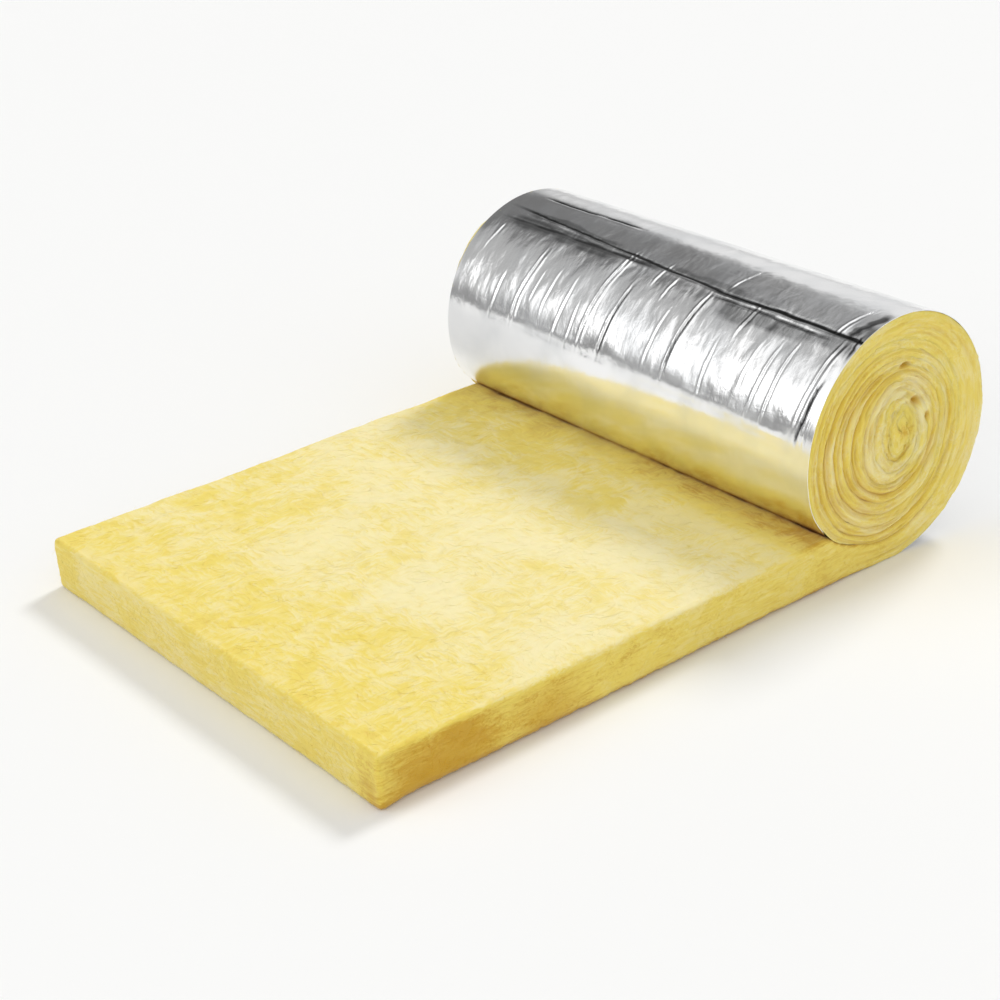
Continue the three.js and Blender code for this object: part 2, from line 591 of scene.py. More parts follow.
            middle = centre + 0.12 * drift(strip.angle, 1.1, lane + 1.0)[:, None]
            open_here = np.clip(drift(strip.angle, 1.3, lane + 11.0) * 2.4 + 0.25, 0.0, 1.0)
            open_here = open_here * (0.3 + 0.7 * self.groove(strip.angle)) * (1.0 - flat_share[:, 0]) * whole
            fall = np.exp(-(((level - middle) * depth / width) ** 2))
            split = np.maximum(split, fall * open_here[:, None])
        # Painted shade: the crevices between the turns and the splits inside them are coloured darker.
        crease = outer_open * np.exp(-((from_outer / 0.0024) ** 2))
        crease = crease + inner_open * np.exp(-((from_inner / 0.0024) ** 2)) * (1 - flat_share)
        bulge = self.bulge * np.sin(math.pi * level) * (1.0 - flat_share)
        return inset + self.split_depth * split - bulge, np.clip(0.66 * crease + 0.48 * split, 0.0, 1.0)

    def pocket(self, section: np.ndarray) -> np.ndarray:
        """Gives how deep each place on an end lies in one of the small holes, from 0 to 1."""
        depth = np.zeros(section.shape[:-1])
        for y, z, wide, high in self.POCKETS:
            away = ((section[..., 0] - y) / wide) ** 2 + ((section[..., 1] - z) / high) ** 2
            depth = np.maximum(depth, np.exp(-away))
        return depth

    def blotch(self, places: np.ndarray, patches: Sequence[Blotch], plain: float | np.ndarray = 0.0) -> np.ndarray:
        """Gives how deep the yellow is at each place, with a plain level between the blotches."""
        tint = np.full(places.shape[:-1], 0.0) + plain
        flat = places.reshape(-1, 3)
        sway = np.array([noise.turbulence_vector(Vector(place * 26.0), 3, False) for place in flat])
        ragged = places + 0.024 * sway.reshape(places.shape) * (np.abs(places[..., :1]) < self.half_width - 0.03)
        for patch in patches:
            away = np.linalg.norm(ragged - np.array(patch.place), axis=-1) / patch.reach
            tint = np.maximum(tint, patch.strength * np.exp(-(away**2)))
        return tint

    def cut_face_tint(self, places: np.ndarray, level: np.ndarray, flat: np.ndarray) -> np.ndarray:
        """Gives the yellow of the cut faces, which turns into the top's at the flat run's rim."""
        right = smooth(places[..., 0], self.half_width - 0.015, self.half_width - 0.004)
        middle = (self.winding.centre_y + 0.008, self.winding.centre_z + 0.005)
        away = np.linalg.norm(places[..., 1:] - middle, axis=-1)
        ring = self.ring_tint * np.exp(-(((away - 0.042) / 0.024) ** 2))
        ring = ring + self.heart_tint * np.exp(-((away / 0.017) ** 2))
        centre = self.winding.centre_y
        flat = flat * (1.0 - smooth(places[..., 1], centre - 0.09, centre))
        plain = self.cut_tint + flat * self.right_tint * right + (1.0 - flat) * (self.wound_tint + ring)
        side = self.blotch(places, self.side_blotches, plain)
        # Painted shade: the lowest part of the flat run's right face is deeper yellow where it meets the floor.
        side = side + 1.2 * (1.0 - smooth(level, 0.0, 0.15)) * right * flat
        top = self.top_tint(places)
        share = smooth(level, 0.86, 1.0) * flat
        return side + (top - side) * share

    def top_tint(self, places: np.ndarray) -> np.ndarray:
        """Gives the yellow of the flat run's top."""
        plain = 0.12 + 0.58 * (1.0 - smooth(places[..., 1], self.front, self.front + 0.24))
        return np.maximum(self.blotch(places, self.top_blotches, plain), self.shade_by_roll(places))

    def turn_tint(self, strip: Strip, level: np.ndarray) -> np.ndarray:
        """Gives how much deeper or paler the yellow is from layer to layer of the wound ends."""
        wound = smooth(strip.angle, 0.0, 0.5)
        lanes = drift(strip.angle, 1.0, 41.0)[:, None] * np.cos(5.0 * level) + drift(strip.angle, 0.7, 47.0)[:, None]
        return 0.42 * lanes * wound[:, None]

    def round_corner(self, places: np.ndarray, inset: np.ndarray) -> np.ndarray:
        """Rounds the upright corners of the cut end in plan."""
        wide = self.half_width - inset - self.plan_corner
        deep = self.front + inset + self.plan_corner
        core = np.stack([np.clip(places[..., 0], -wide, wide), np.maximum(places[..., 1], deep)], -1)
        away = places[..., :2] - core
        reach = np.maximum(np.linalg.norm(away, axis=-1, keepdims=True), 1e-9)
        moved = places.copy()
        moved[..., :2] = core + away / reach * np.minimum(self.plan_corner, reach)
        return moved

    def build(self) -> bpy.types.Object:
        """Builds the closed mesh, before the soft relief is put on it."""
        wind = self.winding
        strip = self.strip()
        share = np.arange(self.levels + 1) / self.levels
        level = 0.4 * share + 0.3 * (1.0 - np.cos(math.pi * share))
        inset, crevice = self.insets(strip, level)
        run = np.concatenate([[0.0], np.cumsum(np.linalg.norm(np.diff(strip.outer, axis=0), axis=1))])
        depth = np.linalg.norm(strip.inner - strip.outer, axis=1)
        fine = strip.fine
        wound = strip.angle > 0.0
        shell = Shell()

        # The two long edges, station by level.
        touch = 1.8 * wind.layer_gap
        spread = (strip.outer - strip.inner) / np.maximum(depth, 1e-6)[:, None]
        shut = smooth(strip.angle, math.radians(301.0), math.radians(313.0))
        pressed = np.where(wound, 1.0, smooth(strip.outer[:, 0], wind.centre_y - 0.105, wind.centre_y - 0.085))
        over_foil = 0.0008 * smooth(strip.angle, 0.0, 0.3) * (1.0 - smooth(strip.angle, 2.2, 2.9))
        slack_core = 1.0 + 1.6 * smooth(strip.angle / TURN, 5.5, 8.5)
        lip_outer = strip.outer + spread * (touch * shut * slack_core + over_foil)[:, None]
        fan = smooth(strip.angle + TURN - wind.end_angle, -0.02, math.radians(14.0))
        lip_inner = strip.inner - spread * (touch * pressed * slack_core * (1.0 - fan))[:, None]
        across = lip_outer[:, None] + (lip_inner - lip_outer)[:, None] * level[:, None]
        near_front = np.clip(1.0 - (strip.outer[:, 0] - self.front) / 0.03, 0.0, 1.0) * ~wound
        across[..., 0] += inset * near_front[:, None]
        tangent = np.gradient(strip.outer, axis=0)
        tangent /= np.linalg.norm(tangent, axis=1, keepdims=True)
        along = np.stack([np.zeros_like(run), tangent[:, 0], tangent[:, 1]], -1)[:, None]
        laid = np.stack(np.broadcast_arrays(run[:, None], level * depth[:, None], self.half_width), -1)
        zone = np.where(wound, Zone.END, Zone.WALL)[:, None]
        on_floor = (level < 0.01) & ~wound[:, None]
        loose = 0.65 + 0.85 * smooth(strip.angle / TURN, 5.5, 9.0)[:, None]
        squeezed = np.where(wound, 1.0, smooth(strip.outer[:, 0], wind.centre_y - 0.12, wind.centre_y - 0.05))
        upright = 1.0 - 0.65 * level**3 - 0.75 * (1.0 - level) ** 2
        relief = np.where(on_floor, 0.0, upright + (loose - upright) * squeezed[:, None])
        from_heart = smooth((1.0 - level) * depth[:, None], 0.0, 0.012)
        relief = relief * (1.0 - fan[:, None] * (1.0 - from_heart))
        edges = {}
        pocket = self.pocket(across) * wound[:, None]
        inset = inset + self.pocket_depth * pocket
        # The small holes take painted shade too.
        crevice = np.maximum(crevice, pocket)
        proud = smooth(strip.angle, 3.2, 3.7) * (1.0 - smooth(strip.angle, 4.1, 4.5))
        proud = self.proud * proud[:, None] * (1.0 - smooth(level * depth[:, None], 0.004, 0.012))
        for side in (-1, 1):
            drawn_in = self.undercut * (side > 0) * (1.0 - smooth(level * depth[:, None], 0.0, 0.010))
            drawn_in = drawn_in * smooth(strip.outer[:, :1], self.front + 0.004, self.front + 0.03)
            drawn_in = drawn_in * (1.0 - smooth(strip.outer[:, :1], wind.centre_y - 0.17, wind.centre_y - 0.004))
            drawn_in = drawn_in * (1.0 + 0.6 * drift(run, 190.0, 71.0)[:, None])
            x = side * (self.half_width - inset - drawn_in * ~wound[:, None] + proud * (side < 0))
            places = np.concatenate([x[..., None], across], -1)
            places[:fine] = self.round_corner(places[:fine], inset[:fine])
            laid_here = laid * (1.0, 1.0, side)
            tint = self.cut_face_tint(places, level, ~wound[:, None])
            edges[side] = shell.add(
                places, laid=laid_here, along=along, zone=zone, relief=relief, crevice=crevice,
                tint=tint + self.turn_tint(strip, level),
            )

        # The cut end, column by level. Its outer columns are the long edges' first stations.
        half = graded(1.0, self.cell / self.half_width)
        spot = np.concatenate([half - 1.0, (1.0 - half[::-1])[1:]])
        inner_spot = spot[1:-1, None]
        wide = self.half_width - inset[0]
        x = inner_spot * wide
        y = self.front + inset[0] + 0.0 * x
        z = across[0, :, 1] + 0.0 * x
        cut = self.round_corner(np.stack([x, y, z], -1), np.broadcast_to(inset[0], x.shape))
        laid_cut = np.stack(np.broadcast_arrays(0.0, level * depth[0], x), -1)
        cut_index = shell.add(
            cut, laid=laid_cut, along=(1.0, 0.0, 0.0), zone=Zone.WALL,
            relief=np.where(level < 0.01, 0.0, upright), tint=self.cut_face_tint(cut, level, np.True_),
        )
        cut_grid = np.concatenate([edges[-1][:1], cut_index, edges[1][:1]])
        shell.patch(cut_grid)

        # The flat top. Its rim is the top level of the long edges and the cut end.
        rim_y = across[1:fine, -1, 0]
        x = inner_spot.T * (self.half_width - inset[1:fine, -1:])
        y = rim_y[:, None] + 0.0 * x
        z = across[1:fine, -1, 1][:, None] + 0.0 * x
        top = np.stack([x, y, z], -1)
        hidden = smooth(rim_y, wind.centre_y - 0.097, wind.centre_y - 0.085)[:, None]
        laid_top = np.stack(np.broadcast_arrays(run[1:fine, None], z, x), -1)
        top_index = shell.add(
            top, laid=laid_top, along=(0.0, 1.0, 0.0), zone=Zone.TOP * (hidden < 0.5),
            relief=self.rim_calm(top) * (1.0 - hidden), tint=self.top_tint(top),
        )
        inside = np.concatenate([edges[-1][1:fine, -1:], top_index, edges[1][1:fine, -1:]], 1)
        top_grid = np.concatenate([cut_grid[:, -1][None], inside])
        shell.patch(top_grid)

        # The hidden faces between the turns, drawn in behind the foil of the outer wrap.
        inset_column = self.half_width - 0.008
        columns = np.array([-inset_column, inset_column])
        recess = 0.0022 * smooth(strip.angle, 0.05, 0.3) * (strip.angle < TURN)
        behind = strip.outer - spread * recess[:, None]
        outer_grid = self.hidden_face(shell, behind[fine - 1 :], columns, edges, fine - 1, 0)
        inner_grid = self.hidden_face(shell, strip.inner[fine:], columns, edges, fine, self.levels)
        shell.patch(outer_grid)
        shell.patch(inner_grid)
        for side in (-1, 1):
            shell.patch(edges[side])
        last = [edges[-1][-1], inner_grid[-1, 1:-1], edges[1][-1][::-1], outer_grid[-1, 2:0:-1]]
        shell.polygon(*last)
        shell.polygon(top_grid[-1], inner_grid[0, ::-1])
        left, right = edges[-1][:fine, 0], edges[1][:fine, 0]
        shell.polygon(left[::-1], cut_grid[1:-1, 0], right, outer_grid[0, 2:0:-1])
        return shell.build("wool_blanket")

    def rim_calm(self, places: np.ndarray) -> np.ndarray:
        """Lowers the relief of the top along its straight edges."""
        side = self.half_width - np.abs(places[..., 0])
        away = np.minimum(side, places[..., 1] - self.front)
        return 0.45 + 0.55 * smooth(away, 0.004, 0.035)

    def shade_by_roll(self, places: np.ndarray) -> np.ndarray:
        """Deepens the yellow of the flat run where the roll comes close."""
        centre = self.winding.centre_y
        right = 0.45 + 0.75 * smooth(places[..., 0], -0.1, 0.3)
        deep = 0.58 * smooth(places[..., 1], centre - 0.275, centre - 0.18)
        return deep + right * smooth(places[..., 1], centre - 0.175, centre - 0.118)

    def hidden_face(
        self, shell: Shell, section: np.ndarray, columns: np.ndarray, edges: dict, start: int, level: int
    ) -> np.ndarray:
        """Adds a plain face between the two long edges.

        Args:
            shell: The mesh so far.
            section: Y and Z of each station.
            columns: The x of the face's inner columns.
            edges: Vertex numbers of the two long edges.
            start: The first station.
            level: The level of the long edges that the face joins.

        Returns:
            The face's vertex numbers, station by column.
        """
        x = np.broadcast_to(columns, (len(section), len(columns)))
        y = np.broadcast_to(section[:, :1], x.shape)
        z = np.broadcast_to(section[:, 1:], x.shape)
        inner = shell.add(np.stack([x, y, z], -1))
        left = edges[-1][start:, level][:, None]
        right = edges[1][start:, level][:, None]
        return np.concatenate([left, inner, right], 1)


# ------------------------------------------------------------------------------ the foil


class Course(Enum):
    """Which way a crease in the foil runs."""

    ROUND = "round the roll"
    ALONG = "along the roll"


@dataclass(frozen=True)
class Crease:
    """A fold in the foil facing."""

    course: Course
    place: float  # x from the left end for a fold round the roll, else its angle in degrees
    start: float  # angle in degrees for a fold round the roll, else x from the left end
    end: float
    height: float
    lean: float = 0.0  # how far the place moves from start to end
    width: float = 0.0017
    twin: float = 0.0  # distance to a second, lower fold beside it
    shade: float = 0.0  # how much painted shadow darkens the fold, from 0 to 1

    def __post_init__(self) -> None:
        """Checks that the fold has a length."""
        if self.end <= self.start:
            raise ValueError("a crease ends after it starts")


def round_fold(
    x: float, start: float, end: float, height: float, lean: float = 0.0, twin: float = 0.0, shade: float = 0.0
) -> Crease:
    """Makes a fold round the roll, with its sizes in millimetres."""
    return Crease(Course.ROUND, x / 1000, start, end, height / 1000, lean / 1000, 0.00125, twin / 1000, shade)


def long_fold(
    angle: float, start: float, end: float, height: float, lean: float, width: float, shade: float = 0.0
) -> Crease:
    """Makes a fold along the roll, with its sizes in millimetres and its angles in degrees."""
    return Crease(Course.ALONG, angle, start / 1000, end / 1000, height / 1000, lean, width / 1000, 0.0, shade)


FRONT_FOLDS = (
    round_fold(28, 206, 224, 0.5, -6),
    round_fold(78, 229, 258, 0.8, -10),
    round_fold(117, 210, 261, 1.1, -14, 7),
    round_fold(140, 222, 243, 0.4, -6),
    round_fold(163, 218, 247, 0.6, -8),
    round_fold(192, 219, 260, 0.7, -10),
    round_fold(214, 232, 258, 0.5, -5),
    round_fold(237, 194, 258, 1.3, -16, 7),
    round_fold(270, 213, 258, 1.1, -12),
    round_fold(274, 214, 257, -0.6, -12, 0, 0.95),
    round_fold(301, 196, 214, 0.4, -6),
    round_fold(325, 204, 220, 0.5, -6),
    round_fold(343, 218, 252, 0.6, -10),
    round_fold(376, 203, 258, 1.1, -14),
    round_fold(380, 205, 252, -0.6, -14, 0, 0.95),
    round_fold(403, 180, 202, 0.7, -10),
    round_fold(430, 225, 258, 0.6, -6),
    round_fold(452, 202, 224, 0.9, -10),
    round_fold(486, 218, 246, 0.5, -8),
    round_fold(508, 215, 258, 0.9, -12),
    round_fold(528, 212, 258, 0.9, -10),
    round_fold(566, 180, 208, 0.7, -14, 6),
    round_fold(574, 203, 258, 0.9, -14, 7),
    Crease(Course.ROUND, 0.583, 226, 259, -0.0012, -0.012, 0.0018, 0.0, 1.0),
    Crease(Course.ROUND, 0.588, 182, 208, -0.0006, -0.016, 0.0045, 0.0, 0.8),
    round_fold(595, 200, 216, -0.6, 2, 0, 0.9),
    round_fold(590, 240, 258, 0.8, -4),
    long_fold(199.3, 0, 445, -1.0, 9.5, 2.1, 0.95),
    long_fold(204.3, 350, 660, -1.0, 1.8, 2.6, 1.0),
    long_fold(202.9, 0, 310, -0.8, 0.5, 2.5, 0.85),
    long_fold(207.8, 370, 570, -0.7, 1.5, 2.0, 0.85),
    long_fold(206.0, 380, 580, 0.6, 1.5, 1.6),
    long_fold(199.6, 60, 270, 0.6, 4, 1.6),
    long_fold(180.3, 30, 212, -0.8, -1, 1.9, 1.0),
    long_fold(191, 250, 520, -0.2, -3, 1.2),
    long_fold(211, 300, 470, 0.5, -3, 2.0),
    long_fold(214, 470, 560, 0.6, 3, 1.8),
    long_fold(252, 40, 330, 0.35, -4, 3.0),
    long_fold(254, 300, 600, 0.4, 3, 3.0),
    # Nearly flat folds that only carry broad smears of painted shadow.
    long_fold(204.2, 10, 245, -0.1, 0.8, 8.0, 0.58),
    long_fold(196.6, 40, 225, -0.1, 2.5, 5.0, 0.46),
    long_fold(211.0, 385, 630, -0.1, 1.5, 9.0, 0.58),
    long_fold(201.5, 290, 480, -0.1, 2.0, 5.5, 0.34),
    Crease(Course.ROUND, 0.592, 192, 218, -0.0002, -0.006, 0.0095, 0.0, 0.66),
)


@dataclass
class FoilFacing:
    """The foil facing: flat under the blanket, crumpled round the outer wrap, wound inside it."""

    winding: Winding
    front: float
    half_width: float
    column: float = 0.0012  # spacing of the fine grid across the roll
    row: float = math.radians(3.4)  # and round it
    close_row: float = math.radians(0.55)
    middle_row: float = math.radians(2.0)
    close_from: float = math.radians(178.0)
    close_to: float = math.radians(210.0)
    middle_to: float = math.radians(268.0)
    fine_from: float = math.radians(7.0)
    fine_to: float = math.radians(328.0)
    coarse_row: float = math.radians(10.0)
    edge_thickness: float = 0.0007
    slack: float = 0.0013  # room for the creases, between the foil's two sides
    turn_recess: float = 0.016  # how far the inner turns' foil stays behind the wool's edge
    floor_recess: float = 0.009  # how far the foil under the flat run stays behind the wool's edge
    painted_shade_lower_left: float = 0.20  # how much painted shade darkens the foil's reflection low down at the left end
    seed: int = 7

    def folds(self) -> list[Crease]:
        """Lists the creases: the ones at the front and top, and random ones at the back."""
        rng = np.random.default_rng(self.seed)
        folds = list(FRONT_FOLDS)
        for _ in range(34):
            start = rng.uniform(10.0, 120.0)
            end = min(start + rng.uniform(12.0, 70.0), 128.0)
            if end - start < 6.0:
                continue
            x = rng.uniform(15.0, 585.0)
            twin = rng.choice((0.0, 0.0, 6.0))
            folds.append(round_fold(x, start, end, rng.uniform(0.4, 1.2), rng.uniform(-14.0, 14.0), twin))
        for _ in range(7):
            start = rng.uniform(-20.0, 380.0)
            length = rng.uniform(90.0, 320.0)
            folds.append(
                long_fold(rng.uniform(25.0, 118.0), start, start + length, rng.uniform(0.3, 0.8), rng.uniform(-5, 5), 2.2)
            )
        return folds

    def creased(self, x: np.ndarray, angle: np.ndarray) -> tuple[np.ndarray, np.ndarray]:
        """Gives the height of all the creases over the plain wrap, and the shadow they hold.

        Args:
            x: Place across the roll, from its left end, as a row.
            angle: Wound angle, as a column.

        Returns:
            Heights and shadows, angle by x.
        """
        degrees = np.degrees(angle)
        radius = self.winding.wool_radius
        height = np.zeros(np.broadcast_shapes(x.shape, angle.shape))
        shadow = np.zeros_like(height)
        for number, fold in enumerate(self.folds()):
            run, place, reach = (degrees, x, 1.0) if fold.course is Course.ROUND else (x, degrees, math.radians(radius))
            share = (run - fold.start) / (fold.end - fold.start)
            fade = np.clip(np.minimum(share, 1.0 - share) * (3.5 if fold.course is Course.ROUND else 5.0), 0.0, 1.0)
            fade = fade * fade * (3.0 - 2.0 * fade)
            sway = drift(share.ravel(), 2.2, 31.0 + number) + 0.35 * drift(share.ravel(), 9.0, 131.0 + number)
            sway = sway.reshape(share.shape)
            line = fold.place + fold.lean * (share - 0.5) + 1.6 * fold.width / reach * sway
            away = (place - line) * reach
            ridge = np.exp(-((away / fold.width) ** 2))
            trough = np.exp(-(((away - 1.9 * fold.width) / (1.3 * fold.width)) ** 2))
            height += fold.height * fade * (ridge - 0.55 * trough)
            if fold.shade:
                broken = np.clip(1.5 + 1.6 * drift(share.ravel(), 6.0, 61.0 + number), 0.45, 1.6)
                dark = np.exp(-((away / (1.15 * fold.width)) ** 4)) * fade * broken.reshape(share.shape)
                shadow = np.maximum(shadow, fold.shade * np.minimum(dark, 1.0))
            if fold.twin:
                height += 0.7 * fold.height * fade * np.exp(-(((away - fold.twin) / fold.width) ** 2))
        return height, shadow

    def build(self) -> bpy.types.Object:
        """Builds the closed sheet, before the small crumples are put on it."""
        wind = self.winding
        shell = Shell()
        angles = self.fine_angles()
        count = round(2.0 * self.half_width / self.column)
        x = np.linspace(-self.half_width, self.half_width, count + 1)
        near_end = self.half_width - np.abs(x)
        calm = 0.25 + 0.75 * smooth(near_end, 0.0005, 0.012)
        lift, shadow = self.creased((x + self.half_width)[None], angles[:, None])
        lift = lift * calm
        lift = np.clip(lift, -self.slack * 0.75, None)
        degrees = np.degrees(angles)
        # Painted shade: the foil low down at the left end is darkened with the shadow colour.
        low_left = smooth(degrees, 250.0, 262.0) * (1.0 - smooth(degrees, 276.0, 290.0))
        low_left = low_left[:, None] * (1.0 - smooth(x + self.half_width, 0.06, 0.30))
        shadow = np.maximum(shadow, self.painted_shade_lower_left * low_left)
        plain = wind.points(angles, wind.foil_outside)
        normal = np.stack([np.sin(angles), -np.cos(angles)], -1)
        section = plain[:, None] + normal[:, None] * lift[..., None]
        tucked = smooth(angles, math.radians(301.0), math.radians(318.0))[:, None, None]
        wide = np.broadcast_to(x, lift.shape)[..., None] * (1.0 - tucked * self.turn_recess / self.half_width)
        run = (angles * wind.wool_radius)[:, None]
        start_fade = smooth(angles, self.fine_from, self.fine_from + 0.1)
        end_fade = 1.0 - smooth(angles, self.fine_to - 0.1, self.fine_to)
        dented = 0.42 + 0.58 * smooth(degrees, 200.0, 212.0) * (1.0 - smooth(degrees, 249.0, 259.0))
        dented = dented + 0.22 * smooth(degrees, 150.0, 165.0) * (1.0 - smooth(degrees, 196.0, 208.0))
        dented = np.maximum(dented, 0.8 * (1.0 - smooth(degrees, 110.0, 150.0)))
        relief = calm * (start_fade * end_fade * dented)[:, None]
        laid = np.stack(np.broadcast_arrays(run, 0.0, x), -1)
        # Painted reflection: the foil near the nip takes a yellow-brown colour that stands in for light bounced off the
        # wool.
        wool_reflection_share = (0.25 * smooth(degrees, 302.0, 306.0) + 0.75 * smooth(degrees, 306.0, 309.5))[:, None]
        satin = smooth(degrees, 258.0, 282.0)[:, None]
        fine = shell.add(
            np.concatenate([wide, section], -1), laid=laid, relief=relief, crevice=shadow, tint=wool_reflection_share, zone=satin
        )
        shell.patch(fine)

        flat = np.array([[self.front + self.floor_recess, 0.0], [wind.centre_y, 0.0]])
        flat_top = flat + (0.0, self.edge_thickness)
        lead = np.linspace(0.0, self.fine_from, 3)[1:-1]
        tail = np.arange(self.fine_to + self.coarse_row, wind.end_angle - self.coarse_row, self.coarse_row)
        bond = wind.foil_outside - self.edge_thickness
        before = np.concatenate([flat, wind.points(lead, wind.foil_outside)])
        after = wind.points(tail, wind.foil_outside)
        tail_half = np.full(len(tail), self.half_width - self.turn_recess)
        lead_half = self.half_width - self.floor_recess * np.array([1.0, 1.0] + [0.6] * len(lead))
        outer_before = self.two_columns(shell, before, lead_half)
        outer_after = self.two_columns(shell, after, tail_half)
        shell.patch(outer_before)
        shell.patch(outer_after)
        shell.polygon(outer_before[-1], fine[0, ::-1])
        shell.polygon(fine[-1], outer_after[0, ::-1])

        every = np.concatenate([lead, angles, tail])
        edge = np.concatenate([flat_top, wind.points(every, bond)])
        room = self.slack * smooth(every, self.fine_from, self.fine_from + 0.15)
        room = room * (1.0 - smooth(every, self.fine_to - 0.15, self.fine_to))
        middle = np.concatenate([flat_top, wind.points(every, bond - room)])
        half = np.concatenate([lead_half, self.half_width - self.turn_recess * tucked[:, 0, 0], tail_half])
        rims = self.two_columns(shell, edge, half)
        inner = self.two_columns(shell, middle, half - 0.015)
        back = np.stack([rims[:, 0], inner[:, 0], inner[:, 1], rims[:, 1]], 1)
        shell.patch(back)
        rows_before, rows_fine = len(before), len(angles)
        for side in (0, -1):
            outer_edge = np.concatenate([outer_before[:, side], fine[:, side], outer_after[:, side]])
            shell.patch(np.stack([outer_edge, back[:, side]], 1))
        shell.polygon(outer_before[0], back[0, ::-1])
        shell.polygon(outer_after[-1], back[-1, ::-1])
        LOG.info("foil: %d plain stations, %d fine rows of %d", rows_before, rows_fine, count)
        return shell.build("foil_sheet")

    def fine_angles(self) -> np.ndarray:
        """Gives the rows of the fine grid, closer together where creases run along the roll."""
        parts = (
            (self.fine_from, self.close_from, self.row),
            (self.close_from, self.close_to, self.close_row),
            (self.close_to, self.middle_to, self.middle_row),
            (self.middle_to, self.fine_to, self.row),
        )
        rows = [np.linspace(low, high, round((high - low) / step), endpoint=False) for low, high, step in parts]
        return np.concatenate(rows + [[self.fine_to]])

    def two_columns(self, shell: Shell, section: np.ndarray, half: np.ndarray) -> np.ndarray:
        """Adds a row of two vertices, left and right, for each station."""
        ends = [np.concatenate([side * half[:, None], section], 1) for side in (-1.0, 1.0)]
        return shell.add(np.stack(ends, 1))


# ------------------------------------------------------------------------------ geometry trees


def relief_tree() -> bpy.types.NodeTree:
    """Builds the tree that raises three sizes of soft relief on a piece.

    The relief follows the surface's own laid coordinates, stretched by Layering, so that it
    runs in the blanket's layers. The attribute named relief says how much of it a vertex takes.

    Returns:
        The geometry tree.
    """
    inputs = [("Geometry", "NodeSocketGeometry")]
    inputs += [(f"{size} {what}", "NodeSocketFloat", 0.0) for size in ("Broad", "Middle", "Fine") for what in ("Scale", "Height")]
    inputs += [("Layering", "NodeSocketVector", (1.0, 1.0, 1.0)), ("Swirl", "NodeSocketFloat", 0.0)]
    sheet, entry, leave = open_group("soft_relief", "GeometryNodeTree", inputs, [("Geometry", "NodeSocketGeometry")])
    laid = sheet.add("GeometryNodeInputNamedAttribute", {"Name": "laid"}, data_type="FLOAT_VECTOR")
    mask = sheet.add("GeometryNodeInputNamedAttribute", {"Name": "relief"}, data_type="FLOAT")
    place = sheet.add("GeometryNodeInputPosition").outputs[0]
    layered = sheet.vector("MULTIPLY", laid.outputs[0], entry.outputs["Layering"])
    total: Any = 0.0
    for size, where, detail in (("Broad", place, 1.0), ("Middle", layered, 2.0), ("Fine", layered, 2.0)):
        texture = sheet.noise(where, entry.outputs[f"{size} Scale"], detail, 0.0)
        sheet.feed(texture.inputs["Distortion"], entry.outputs["Swirl"])
        bump = sheet.ramp(texture.outputs["Fac"], 0.25, 0.75, -1.0, 1.0)
        total = sheet.math("MULTIPLY_ADD", bump, entry.outputs[f"{size} Height"], total)
    offset = sheet.scaled(sheet.add("GeometryNodeInputNormal").outputs[0], sheet.math("MULTIPLY", total, mask.outputs[0]))
    over_floor = sheet.vector("MAXIMUM", sheet.vector("ADD", place, offset), (-9.0, -9.0, 0.0))
    moved = sheet.add("GeometryNodeSetPosition", {"Geometry": entry.outputs["Geometry"], "Position": over_floor})
    sheet.feed(leave.inputs[0], moved)
    return sheet.tree


